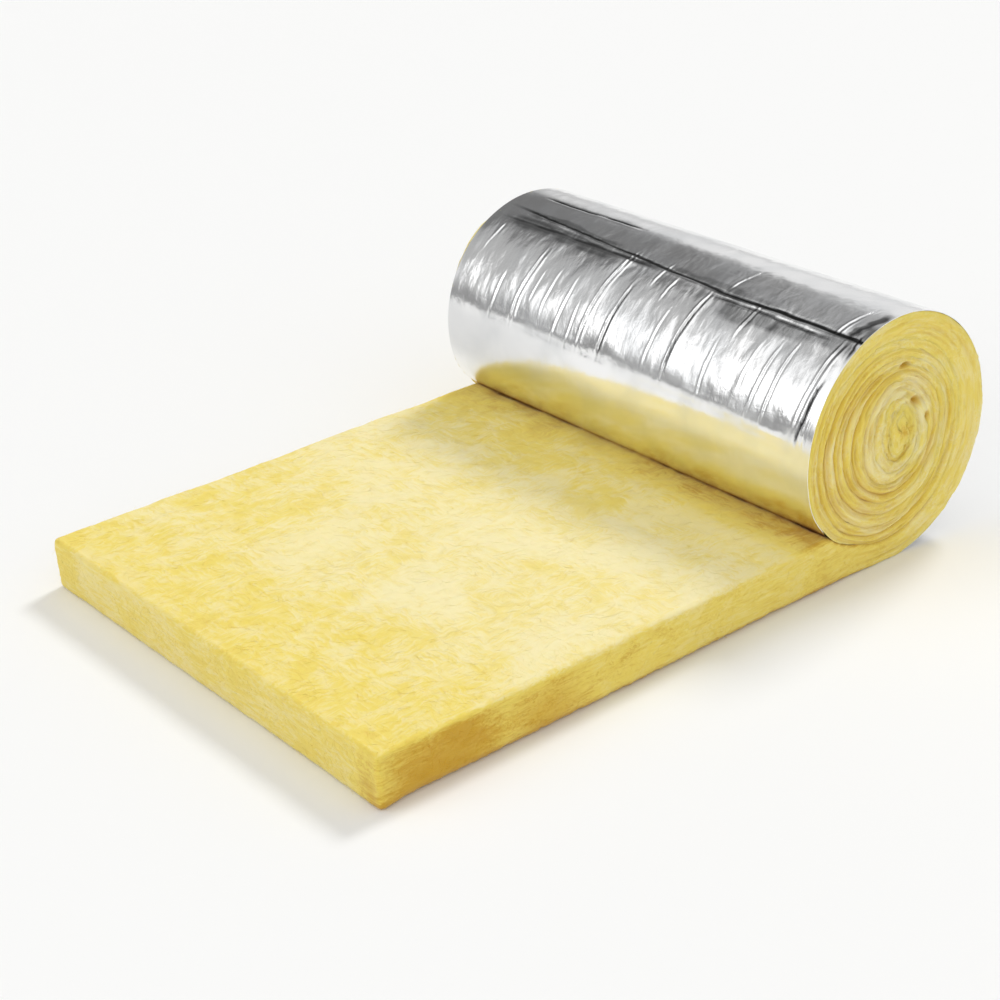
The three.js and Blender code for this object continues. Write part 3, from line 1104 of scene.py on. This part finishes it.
def fibre_tree() -> bpy.types.NodeTree:
    """Builds the tree that lays loose fibres on one zone of the wool.

    Returns:
        The geometry tree. It takes the wool and gives back only its fibres.
    """
    inputs = [
        ("Wool", "NodeSocketGeometry"),
        ("Zone", "NodeSocketFloat", 1.0),
        ("Density", "NodeSocketFloat", 10000.0),
        ("Length", "NodeSocketFloat", 0.02),
        ("Thickness", "NodeSocketFloat", 0.0003),
        ("Curl", "NodeSocketFloat", 0.004),
        ("Lift", "NodeSocketFloat", 0.001),
        ("Spread", "NodeSocketFloat", 1.0),
        ("Points", "NodeSocketInt", 5),
        ("Seed", "NodeSocketInt", 1),
        ("Material", "NodeSocketMaterial"),
    ]
    sheet, entry, leave = open_group("loose_fibres", "GeometryNodeTree", inputs, [("Fibres", "NodeSocketGeometry")])
    given = entry.outputs
    zone = sheet.add("GeometryNodeInputNamedAttribute", {"Name": "zone"}, data_type="FLOAT")
    off_zone = sheet.math("ABSOLUTE", sheet.math("SUBTRACT", zone.outputs[0], given["Zone"]))
    normal = sheet.add("GeometryNodeInputNormal").outputs[0]
    upward = sheet.add("ShaderNodeSeparateXYZ", {0: normal}).outputs["Z"]
    of_face = sheet.add("GeometryNodeFieldOnDomain", {"Value": upward}, data_type="FLOAT", domain="FACE")
    in_sight = sheet.math("GREATER_THAN", of_face, -0.5)
    chosen = sheet.math("MULTIPLY", sheet.math("LESS_THAN", off_zone, 0.1), in_sight)
    scatter = sheet.add(
        "GeometryNodeDistributePointsOnFaces",
        {"Mesh": given["Wool"], "Selection": chosen, "Density": given["Density"], "Seed": given["Seed"]},
        distribute_method="RANDOM",
    )
    upright = sheet.add("FunctionNodeAlignRotationToVector", {"Vector": scatter.outputs["Normal"]}, axis="Z")
    grain = sheet.add("GeometryNodeInputNamedAttribute", {"Name": "along"}, data_type="FLOAT_VECTOR")
    lying = sheet.add(
        "FunctionNodeAlignRotationToVector", {"Rotation": upright, "Vector": grain.outputs[0]}, axis="X", pivot_axis="Z"
    )
    least = sheet.math("MULTIPLY", given["Spread"], -1.0)
    turn = sheet.add("FunctionNodeRandomValue", {2: least, 3: given["Spread"], "Seed": given["Seed"]}, data_type="FLOAT")
    twist = sheet.add("FunctionNodeAxisAngleToRotation", {"Axis": (0.0, 0.0, 1.0), "Angle": turn.outputs[1]})
    pose = sheet.add("FunctionNodeRotateRotation", {"Rotation": lying, "Rotate By": twist}, rotation_space="LOCAL")
    strand = sheet.add("GeometryNodeCurvePrimitiveLine", {"Start": (-0.5, 0.0, 0.0), "End": (0.5, 0.0, 0.0)})
    jointed = sheet.add("GeometryNodeResampleCurve", {"Curve": strand, "Count": given["Points"]})
    other_seed = sheet.math("ADD", given["Seed"], 11.0)
    vary = sheet.add("FunctionNodeRandomValue", {2: 0.35, 3: 1.0, "Seed": other_seed}, data_type="FLOAT")
    size = sheet.math("MULTIPLY", given["Length"], vary.outputs[1])
    laid_out = sheet.add(
        "GeometryNodeInstanceOnPoints",
        {"Points": scatter.outputs["Points"], "Instance": jointed, "Rotation": pose, "Scale": size},
    )
    loose = sheet.add("GeometryNodeRealizeInstances", {"Geometry": laid_out})

    # Each fibre bends in a noise field of its own, then settles back onto the wool.
    place = sheet.add("GeometryNodeInputPosition").outputs[0]
    strand_number = sheet.add("GeometryNodeCurveOfPoint").outputs["Curve Index"]
    field = sheet.add(
        "ShaderNodeTexNoise",
        {"Vector": place, "W": sheet.math("MULTIPLY", strand_number, 0.173), "Scale": 55.0, "Detail": 1.0},
        noise_dimensions="4D",
    )
    centred = sheet.vector("SUBTRACT", field.outputs["Color"], (0.5, 0.5, 0.5))
    bent = sheet.vector("ADD", place, sheet.scaled(centred, sheet.math("MULTIPLY", given["Curl"], 4.0)))
    curled = sheet.add("GeometryNodeSetPosition", {"Geometry": loose, "Position": bent})
    surface = self_sample(sheet, given["Wool"], sheet.add("GeometryNodeInputPosition").outputs[0])
    facing = self_sample(sheet, given["Wool"], sheet.add("GeometryNodeInputNormal").outputs[0])
    factor = sheet.add("GeometryNodeSplineParameter").outputs["Factor"]
    free_end = sheet.math("POWER", factor, 2.5)
    rise_seed = sheet.math("ADD", given["Seed"], 23.0)
    rise = sheet.add("FunctionNodeRandomValue", {2: 0.0, 3: 1.0, 7: strand_number, "Seed": rise_seed}, data_type="FLOAT")
    steep = sheet.math("POWER", rise.outputs[1], 4.0)
    lifted = sheet.math("MULTIPLY", sheet.math("MULTIPLY", free_end, steep), given["Lift"])
    height = sheet.math("ADD", lifted, sheet.math("MULTIPLY", given["Thickness"], 0.45))
    settled = sheet.vector("ADD", surface, sheet.scaled(facing, height))
    over_floor = sheet.vector("MAXIMUM", settled, (-9.0, -9.0, 0.0004))
    resting = sheet.add("GeometryNodeSetPosition", {"Geometry": curled, "Position": over_floor})

    # What the wool says of its colour and its painted crevice shade goes with the fibres that lie on it.
    marked: Any = resting
    for name, kind in (("laid", "FLOAT_VECTOR"), ("tint", "FLOAT"), ("crevice", "FLOAT")):
        source = sheet.add("GeometryNodeInputNamedAttribute", {"Name": name}, data_type=kind)
        value = self_sample(sheet, given["Wool"], source.outputs[0], kind)
        marked = sheet.add(
            "GeometryNodeStoreNamedAttribute", {"Geometry": marked, "Name": name, "Value": value},
            data_type=kind, domain="POINT",
        )
    middle = sheet.math("ABSOLUTE", sheet.math("MULTIPLY_ADD", factor, 2.0, -1.0))
    taper = sheet.ramp(middle, 0.3, 1.0, 1.0, 0.35)
    tapered = sheet.add("GeometryNodeSetCurveRadius", {"Curve": marked, "Radius": taper})
    ring = sheet.add(
        "GeometryNodeCurvePrimitiveCircle", {"Resolution": 3, "Radius": sheet.math("MULTIPLY", given["Thickness"], 0.5)}
    )
    tubes = sheet.add(
        "GeometryNodeCurveToMesh",
        {"Curve": tapered, "Profile Curve": ring, "Scale": sheet.add("ShaderNodeValue").outputs[0], "Fill Caps": True},
    )
    radius = sheet.add("GeometryNodeInputNamedAttribute", {"Name": "radius"}, data_type="FLOAT")
    sheet.feed(tubes.inputs["Scale"], radius.outputs[0])
    whole = sheet.add("GeometryNodeRealizeInstances", {"Geometry": tubes})
    dressed = sheet.add("GeometryNodeSetMaterial", {"Geometry": whole, "Material": given["Material"]})
    sheet.feed(leave.inputs[0], dressed)
    return sheet.tree


def self_sample(sheet: NodeSheet, mesh: Any, value: Any, kind: str = "FLOAT_VECTOR") -> bpy.types.NodeSocket:
    """Reads a value of a mesh at the nearest place on its surface."""
    place = sheet.add("GeometryNodeInputPosition").outputs[0]
    node = sheet.add("GeometryNodeSampleNearestSurface", data_type=kind)
    sheet.feed(node.inputs["Mesh"], mesh)
    sheet.feed(node.inputs["Value"], value)
    sheet.feed(node.inputs["Sample Position"], place)
    return node.outputs["Value"]


# ------------------------------------------------------------------------------ finishes


def tone_group() -> bpy.types.NodeTree:
    """Builds the shader group that gives matted glass wool its colours, its painted crevice shade and its relief."""
    inputs = [
        ("Pale", "NodeSocketColor", (0.9, 0.8, 0.5, 1.0)),
        ("Deep", "NodeSocketColor", (0.7, 0.5, 0.15, 1.0)),
        ("Rich", "NodeSocketColor", (0.6, 0.4, 0.05, 1.0)),
        ("Crevice", "NodeSocketColor", (0.4, 0.25, 0.05, 1.0)),
        ("Depth of Colour", "NodeSocketFloat", 0.0),
    ]
    outputs = [("Colour", "NodeSocketColor"), ("Height", "NodeSocketFloat"), ("Roughness", "NodeSocketFloat")]
    sheet, entry, leave = open_group("wool_tone", "ShaderNodeTree", inputs, outputs)
    laid = sheet.add("ShaderNodeAttribute", attribute_name="laid").outputs["Vector"]
    tint = sheet.add("ShaderNodeAttribute", attribute_name="tint").outputs["Fac"]
    crevice = sheet.add("ShaderNodeAttribute", attribute_name="crevice").outputs["Fac"]
    layered = sheet.vector("MULTIPLY", laid, (1.0, 5.0, 1.0))
    broad = sheet.noise(laid, 9.0, 3.0, 0.8).outputs["Fac"]
    tufts = sheet.noise(layered, 36.0, 6.0, 1.0)
    matted = sheet.vector("ADD", layered, sheet.scaled(tufts.outputs["Color"], 0.02))
    lengthwise = sheet.noise(sheet.vector("MULTIPLY", matted, (30.0, 90.0, 330.0)), 1.0, 2.0, 0.4).outputs["Fac"]
    crosswise = sheet.noise(sheet.vector("MULTIPLY", matted, (330.0, 90.0, 30.0)), 1.0, 2.0, 0.4).outputs["Fac"]
    lay = sheet.ramp(sheet.noise(laid, 26.0, 1.0, 0.5).outputs["Fac"], 0.42, 0.58)
    strands = sheet.math("ADD", sheet.math("MULTIPLY", lengthwise, lay), sheet.math("MULTIPLY", crosswise, sheet.math("SUBTRACT", 1.0, lay)))
    fluff = sheet.math("MULTIPLY_ADD", tufts.outputs["Fac"], 0.5, sheet.math("MULTIPLY", strands, 0.5))
    mottle = sheet.math("MULTIPLY_ADD", broad, 0.45, sheet.math("MULTIPLY", fluff, 0.55))
    deep = sheet.ramp(mottle, 0.58, 0.38)
    strong = sheet.math("MAXIMUM", sheet.math("SUBTRACT", tint, 0.9), 0.0)
    mild = sheet.math("SUBTRACT", tint, strong)
    deeper = sheet.math("MULTIPLY_ADD", mild, sheet.ramp(fluff, 0.66, 0.30, 0.76, 1.06), strong)
    amount = sheet.math("ADD", sheet.math("MULTIPLY", deep, 0.62), sheet.math("ADD", deeper, entry.outputs["Depth of Colour"]))
    colour = sheet.blend(sheet.math("MINIMUM", amount, 1.0), entry.outputs["Pale"], entry.outputs["Deep"])
    overdone = sheet.ramp(amount, 1.0, 2.3)
    colour = sheet.blend(overdone, colour, entry.outputs["Rich"])
    # Painted shade: crevices, splits and holes are blended towards the crevice shade colour.
    colour = sheet.blend(crevice, colour, entry.outputs["Crevice"])
    sheet.feed(leave.inputs["Colour"], colour)
    felt = sheet.noise(laid, 850.0, 1.0, 0.0).outputs["Fac"]
    sheet.feed(leave.inputs["Height"], sheet.math("MULTIPLY_ADD", felt, 0.35, fluff))
    sheet.feed(leave.inputs["Roughness"], sheet.ramp(strands, 0.3, 0.7, 0.82, 1.0))
    return sheet.tree


@dataclass(frozen=True)
class WoolFinish:
    """Matted glass wool."""

    name: str
    pale: Colour
    deep: Colour
    rich: Colour
    # colour of the painted shade in crevices, splits and holes
    crevice: Colour
    depth_of_colour: float
    bump: float
    sheen: float = 0.25
    scatter: float = 0.25
    scatter_scale: float = 0.006

    def material(self, tone: bpy.types.NodeTree) -> bpy.types.Material:
        """Makes the material.

        Args:
            tone: The shader group for the wool's colours.

        Returns:
            The material.
        """
        material, sheet, shader = new_material(self.name)
        group = sheet.add("ShaderNodeGroup", node_tree=tone)
        values = (("Pale", self.pale), ("Deep", self.deep), ("Rich", self.rich), ("Crevice", self.crevice), ("Depth of Colour", self.depth_of_colour))
        for label, value in values:
            sheet.feed(group.inputs[label], value)
        bump = sheet.add("ShaderNodeBump", {"Strength": self.bump, "Distance": 0.002, "Height": group.outputs["Height"]})
        sheet.feed(shader.inputs["Base Color"], group.outputs["Colour"])
        sheet.feed(shader.inputs["Roughness"], group.outputs["Roughness"])
        sheet.feed(shader.inputs["Normal"], bump)
        constants = {
            "Specular IOR Level": 0.2,
            "Sheen Weight": self.sheen,
            "Sheen Roughness": 0.6,
            "Subsurface Weight": self.scatter,
            "Subsurface Scale": self.scatter_scale,
            "Subsurface Radius": (1.0, 0.8, 0.35),
        }
        for label, value in constants.items():
            shader.inputs[label].default_value = value
        return material


@dataclass(frozen=True)
class FoilFinish:
    """Bright aluminium foil with fine wrinkles."""

    name: str
    colour: Colour
    dull: Colour
    wool_reflection_colour: Colour  # painted yellow reflection of the wool, on the foil where it comes down to the flat run
    shadow: Colour
    least_roughness: float
    most_roughness: float
    satin_roughness: float  # added low down, where the foil is smooth and dull
    bump: float

    def material(self) -> bpy.types.Material:
        """Makes the material."""
        material, sheet, shader = new_material(self.name)
        laid = sheet.add("ShaderNodeAttribute", attribute_name="laid").outputs["Vector"]
        streaked = sheet.vector("MULTIPLY", laid, (36.0, 1.0, 170.0))
        streaks = sheet.noise(streaked, 1.0, 3.0, 0.7).outputs["Fac"]
        cells = sheet.noise(laid, 105.0, 3.0, 0.9).outputs["Fac"]
        haze = sheet.noise(laid, 14.0, 4.0, 0.5).outputs["Fac"]
        height = sheet.math("MULTIPLY_ADD", streaks, 0.42, sheet.math("MULTIPLY", cells, 0.58))
        crumpled = sheet.add("ShaderNodeAttribute", attribute_name="relief").outputs["Fac"]
        height = sheet.math("MULTIPLY", height, crumpled)
        bump = sheet.add("ShaderNodeBump", {"Strength": self.bump, "Distance": 0.002, "Height": height})
        tone = sheet.blend(sheet.ramp(haze, 0.35, 0.7), self.colour, self.dull)
        # Painted yellow reflection of the wool near the nip.
        wool_reflection_share = sheet.add("ShaderNodeAttribute", attribute_name="tint").outputs["Fac"]
        tone = sheet.blend(wool_reflection_share, tone, self.wool_reflection_colour)
        fold_shadow = sheet.add("ShaderNodeAttribute", attribute_name="crevice").outputs["Fac"]
        # Painted shadow: the folds, and the foil low at the left end, are blended towards the shadow colour.
        sheet.feed(shader.inputs["Base Color"], sheet.blend(fold_shadow, tone, self.shadow))
        rough = sheet.ramp(haze, 0.3, 0.7, self.least_roughness, self.most_roughness)
        satin = sheet.add("ShaderNodeAttribute", attribute_name="zone").outputs["Fac"]
        sheet.feed(shader.inputs["Roughness"], sheet.math("MULTIPLY_ADD", satin, self.satin_roughness, rough))
        sheet.feed(shader.inputs["Normal"], bump)
        shader.inputs["Metallic"].default_value = 1.0
        return material


def new_material(name: str) -> tuple[bpy.types.Material, NodeSheet, bpy.types.Node]:
    """Makes a material with a bare Principled shader.

    Args:
        name: The material's name.

    Returns:
        The material, a node sheet for its tree and the shader node.
    """
    material = bpy.data.materials.new(name)
    material.use_nodes = True
    tree = material.node_tree
    tree.nodes.clear()
    sheet = NodeSheet(tree)
    shader = sheet.add("ShaderNodeBsdfPrincipled")
    sheet.add("ShaderNodeOutputMaterial", {"Surface": shader})
    return material, sheet, shader


WOOL = WoolFinish(
    name="matted_glass_wool",
    pale=linear(246, 234, 181),
    deep=linear(238, 215, 97),
    rich=linear(207, 163, 36),
    crevice=linear(198, 149, 20),
    depth_of_colour=0.0,
    bump=0.24,
)
LOOSE_WOOL = WoolFinish(
    name="loose_glass_fibre",
    pale=linear(251, 242, 196),
    deep=linear(243, 222, 124),
    rich=linear(228, 184, 56),
    crevice=linear(218, 173, 54),
    depth_of_colour=0.0,
    bump=0.0,
    sheen=0.0,
    scatter=0.0,
)
FOIL = FoilFinish(
    name="crumpled_foil",
    colour=linear(250, 250, 250),
    dull=linear(238, 239, 240),
    wool_reflection_colour=linear(204, 150, 56),
    shadow=linear(44, 45, 44),
    least_roughness=0.14,
    most_roughness=0.235,
    satin_roughness=0.03,
    bump=0.16,
)


# ------------------------------------------------------------------------------ the studio


@dataclass(frozen=True)
class Panel:
    """A soft light or a dark screen in the studio, seen from the object."""

    azimuth: float  # degrees from +Y towards +X
    elevation: float
    core: float  # degrees from its middle to where it starts to fade
    edge: float  # degrees from its middle to where it has faded out
    level: float

    def direction(self) -> tuple[float, float, float]:
        """Gives the unit vector towards the panel's middle."""
        azimuth, elevation = math.radians(self.azimuth), math.radians(self.elevation)
        flat = math.cos(elevation)
        return math.sin(azimuth) * flat, math.cos(azimuth) * flat, math.sin(elevation)


@dataclass
class Studio:
    """A plain pale floor, a soft studio round it and the camera."""

    floor_size: float = 24.0
    floor_colour: Colour = linear(245, 245, 244)
    backdrop: float = 1.0
    far_off: float = 0.25  # level of the dim surroundings just over the floor, at the front left
    horizon: tuple[tuple[float, float], ...] = ((0.0, 0.53), (0.35, 0.44), (0.75, 0.38))
    panels: tuple[Panel, ...] = (
        Panel(-136.0, 28.0, 24.0, 43.0, 0.44),
        Panel(170.0, 42.0, 22.0, 48.0, 0.78),
        Panel(-152.0, 27.0, 13.0, 25.0, 1.85),
        Panel(-137.0, 46.0, 7.0, 17.0, 1.15),
        Panel(-34.0, 16.0, 10.5, 17.0, 0.80),
        Panel(45.0, 30.0, 20.0, 45.0, 0.62),
        Panel(105.0, 24.0, 25.0, 50.0, 0.91),
        Panel(-105.0, 78.0, 16.0, 32.0, 1.18),
        Panel(-78.0, 32.0, 11.0, 22.0, 0.15),
        Panel(-64.0, 24.0, 10.0, 20.0, 0.17),
    )
    sun_azimuth: float = -14.0
    sun_elevation: float = 46.0
    sun_spread: float = 14.0
    sun_strength: float = 1.20
    camera_place: tuple[float, float, float] = (1.6299, -1.3144, 1.1116)
    camera_yaw: float = 51.728
    camera_pitch: float = 26.558
    camera_roll: float = -3.051
    lens: float = 75.5

    def build(self) -> None:
        """Builds the floor, the surroundings and the camera."""
        self.lay_floor()
        self.light()
        self.aim_camera()
        bpy.context.scene.view_settings.view_transform = "Standard"

    def lay_floor(self) -> None:
        """Lays the floor under the object."""
        half = self.floor_size / 2.0
        mesh = bpy.data.meshes.new("studio_floor")
        corners = [(-half, -half, 0.0), (half, -half, 0.0), (half, half, 0.0), (-half, half, 0.0)]
        mesh.from_pydata(corners, [], [(0, 1, 2, 3)])
        floor = bpy.data.objects.new("studio_floor", mesh)
        bpy.context.scene.collection.objects.link(floor)
        material, _, shader = new_material("studio_floor_paint")
        shader.inputs["Base Color"].default_value = self.floor_colour
        shader.inputs["Roughness"].default_value = 0.9
        shader.inputs["Specular IOR Level"].default_value = 0.1
        mesh.materials.append(material)

    def light(self) -> None:
        """Lights the object from all round, and shows the camera a white backdrop."""
        world = bpy.data.worlds.new("studio")
        bpy.context.scene.world = world
        world.use_nodes = True
        tree = world.node_tree
        tree.nodes.clear()
        sheet = NodeSheet(tree)
        towards = sheet.add("ShaderNodeTexCoord").outputs["Generated"]
        height = sheet.add("ShaderNodeSeparateXYZ", {0: towards}).outputs["Z"]
        gradient = sheet.add("ShaderNodeValToRGB", {0: height})
        stops = gradient.color_ramp.elements
        while len(stops) < len(self.horizon):
            stops.new(0.5)
        for stop, (place, level) in zip(stops, self.horizon):
            stop.position = place
            stop.color = (level, level, level, 1.0)
        colour = gradient.outputs["Color"]
        for panel in self.panels:
            facing = sheet.vector("DOT_PRODUCT", towards, panel.direction())
            edge, core = math.cos(math.radians(panel.edge)), math.cos(math.radians(panel.core))
            level = (panel.level, panel.level, panel.level, 1.0)
            colour = sheet.blend(sheet.ramp(facing, edge, core), colour, level)
        aside = sheet.vector("DOT_PRODUCT", towards, Panel(-130.0, 0.0, 0.0, 0.0, 0.0).direction())
        low_down = sheet.math("MULTIPLY", sheet.ramp(height, 0.21, 0.07), sheet.ramp(aside, 0.1, 0.6))
        colour = sheet.blend(low_down, colour, (self.far_off, self.far_off, self.far_off, 1.0))
        shining = sheet.add("ShaderNodeBackground", {"Color": colour, "Strength": 1.0})
        shown = sheet.add("ShaderNodeBackground", {"Color": (1.0, 1.0, 1.0, 1.0), "Strength": self.backdrop})
        seen = sheet.add("ShaderNodeLightPath").outputs["Is Camera Ray"]
        both = sheet.add("ShaderNodeMixShader", {0: seen, 1: shining, 2: shown})
        sheet.add("ShaderNodeOutputWorld", {"Surface": both})
        lamp = bpy.data.lights.new("studio_sun", "SUN")
        lamp.energy = self.sun_strength
        lamp.angle = math.radians(self.sun_spread)
        sun = bpy.data.objects.new("studio_sun", lamp)
        bpy.context.scene.collection.objects.link(sun)
        turn = Matrix.Rotation(math.radians(180.0 - self.sun_azimuth), 4, "Z")
        tilt = Matrix.Rotation(math.radians(90.0 - self.sun_elevation), 4, "X")
        sun.matrix_world = turn @ tilt

    def aim_camera(self) -> None:
        """Places the camera at its viewing angle."""
        camera = bpy.data.cameras.new("studio_camera")
        camera.lens = self.lens
        camera.sensor_width = 36.0
        stand = bpy.data.objects.new("studio_camera", camera)
        bpy.context.scene.collection.objects.link(stand)
        yaw = Matrix.Rotation(math.radians(self.camera_yaw), 4, "Z")
        pitch = Matrix.Rotation(math.radians(90.0 - self.camera_pitch), 4, "X")
        roll = Matrix.Rotation(math.radians(self.camera_roll), 4, "Z")
        stand.matrix_world = Matrix.Translation(self.camera_place) @ yaw @ pitch @ roll
        bpy.context.scene.camera = stand


# ------------------------------------------------------------------------------ assembly


@dataclass(frozen=True)
class FibreBed:
    """One piece of loose fibres, on one zone of the wool."""

    name: str
    zone: Zone
    density: float
    length: float
    thickness: float
    curl: float
    lift: float
    spread: float
    seed: int


FIBRE_BEDS = (
    FibreBed("top_fibres", Zone.TOP, 15000.0, 0.022, 0.00020, 0.0060, 0.002, math.pi, 3),
    FibreBed("side_fibres", Zone.WALL, 45000.0, 0.011, 0.00018, 0.0035, 0.005, 1.50, 5),
    FibreBed("end_fibres", Zone.END, 32500.0, 0.012, 0.00020, 0.0030, 0.003, 0.70, 9),
)


@dataclass
class InsulationRoll:
    """The whole part: wool, loose fibres and foil facing."""

    winding: Winding
    front: float
    half_width: float
    pieces: list[bpy.types.Object] = field(default_factory=list)

    def finish(self, piece: bpy.types.Object) -> bpy.types.Object:
        """Rides a piece on the part and reports it."""
        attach(piece, "root")
        self.pieces.append(piece)
        triangles = sum(len(face.vertices) - 2 for face in piece.data.polygons)
        LOG.info("%s: %d triangles", piece.name, triangles)
        return piece

    def make_wool(self, tone: bpy.types.NodeTree, relief: bpy.types.NodeTree) -> bpy.types.Object:
        """Makes the blanket's wool."""
        wool = WoolBlanket(self.winding, self.front, self.half_width).build()
        apply_nodes(
            wool, relief,
            Broad_Scale=9.0, Broad_Height=0.0016, Middle_Scale=30.0, Middle_Height=0.0011,
            Fine_Scale=110.0, Fine_Height=0.0005, Layering=(1.0, 3.0, 1.0), Swirl=0.6,
        )
        wool.data.materials.clear()
        wool.data.materials.append(WOOL.material(tone))
        self.finish(wool)
        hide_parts("glass_wool_blanket")
        return wool

    def make_fibres(self, wool: bpy.types.Object, tone: bpy.types.NodeTree) -> None:
        """Lays the loose fibres on the wool."""
        tree = fibre_tree()
        material = LOOSE_WOOL.material(tone)
        for bed in FIBRE_BEDS:
            fibres = bpy.data.objects.new(bed.name, wool.data.copy())
            bpy.context.scene.collection.objects.link(fibres)
            apply_nodes(
                fibres, tree, Zone=float(bed.zone), Density=bed.density, Length=bed.length,
                Thickness=bed.thickness, Curl=bed.curl, Lift=bed.lift, Spread=bed.spread,
                Seed=bed.seed, Material=material,
            )
            self.finish(fibres)

    def make_foil(self, relief: bpy.types.NodeTree) -> bpy.types.Object:
        """Makes the foil facing."""
        foil = FoilFacing(self.winding, self.front, self.half_width).build()
        apply_nodes(
            foil, relief,
            Broad_Scale=11.0, Broad_Height=0.0005, Middle_Scale=42.0, Middle_Height=0.00027,
            Fine_Scale=110.0, Fine_Height=0.00004, Layering=(0.75, 1.0, 1.0), Swirl=0.5,
        )
        foil.data.materials.clear()
        foil.data.materials.append(FOIL.material())
        foil.data.set_sharp_from_angle(angle=math.radians(60.0))
        self.finish(foil)
        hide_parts("foil_facing")
        return foil


def main() -> None:
    """Builds the roll and its studio."""
    logging.basicConfig(level=logging.INFO, format="%(name)s: %(message)s")
    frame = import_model()
    LOG.info("nodes: %s", ", ".join(sorted(frame["nodes"])))
    low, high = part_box("foil_facing")
    winding = Winding(centre_y=high.y - 0.143)
    roll = InsulationRoll(winding, front=low.y, half_width=high.x)
    tone, relief = tone_group(), relief_tree()
    wool = roll.make_wool(tone, relief)
    roll.make_fibres(wool, tone)
    roll.make_foil(relief)
    Studio().build()


if __name__ == "__main__":
    main()
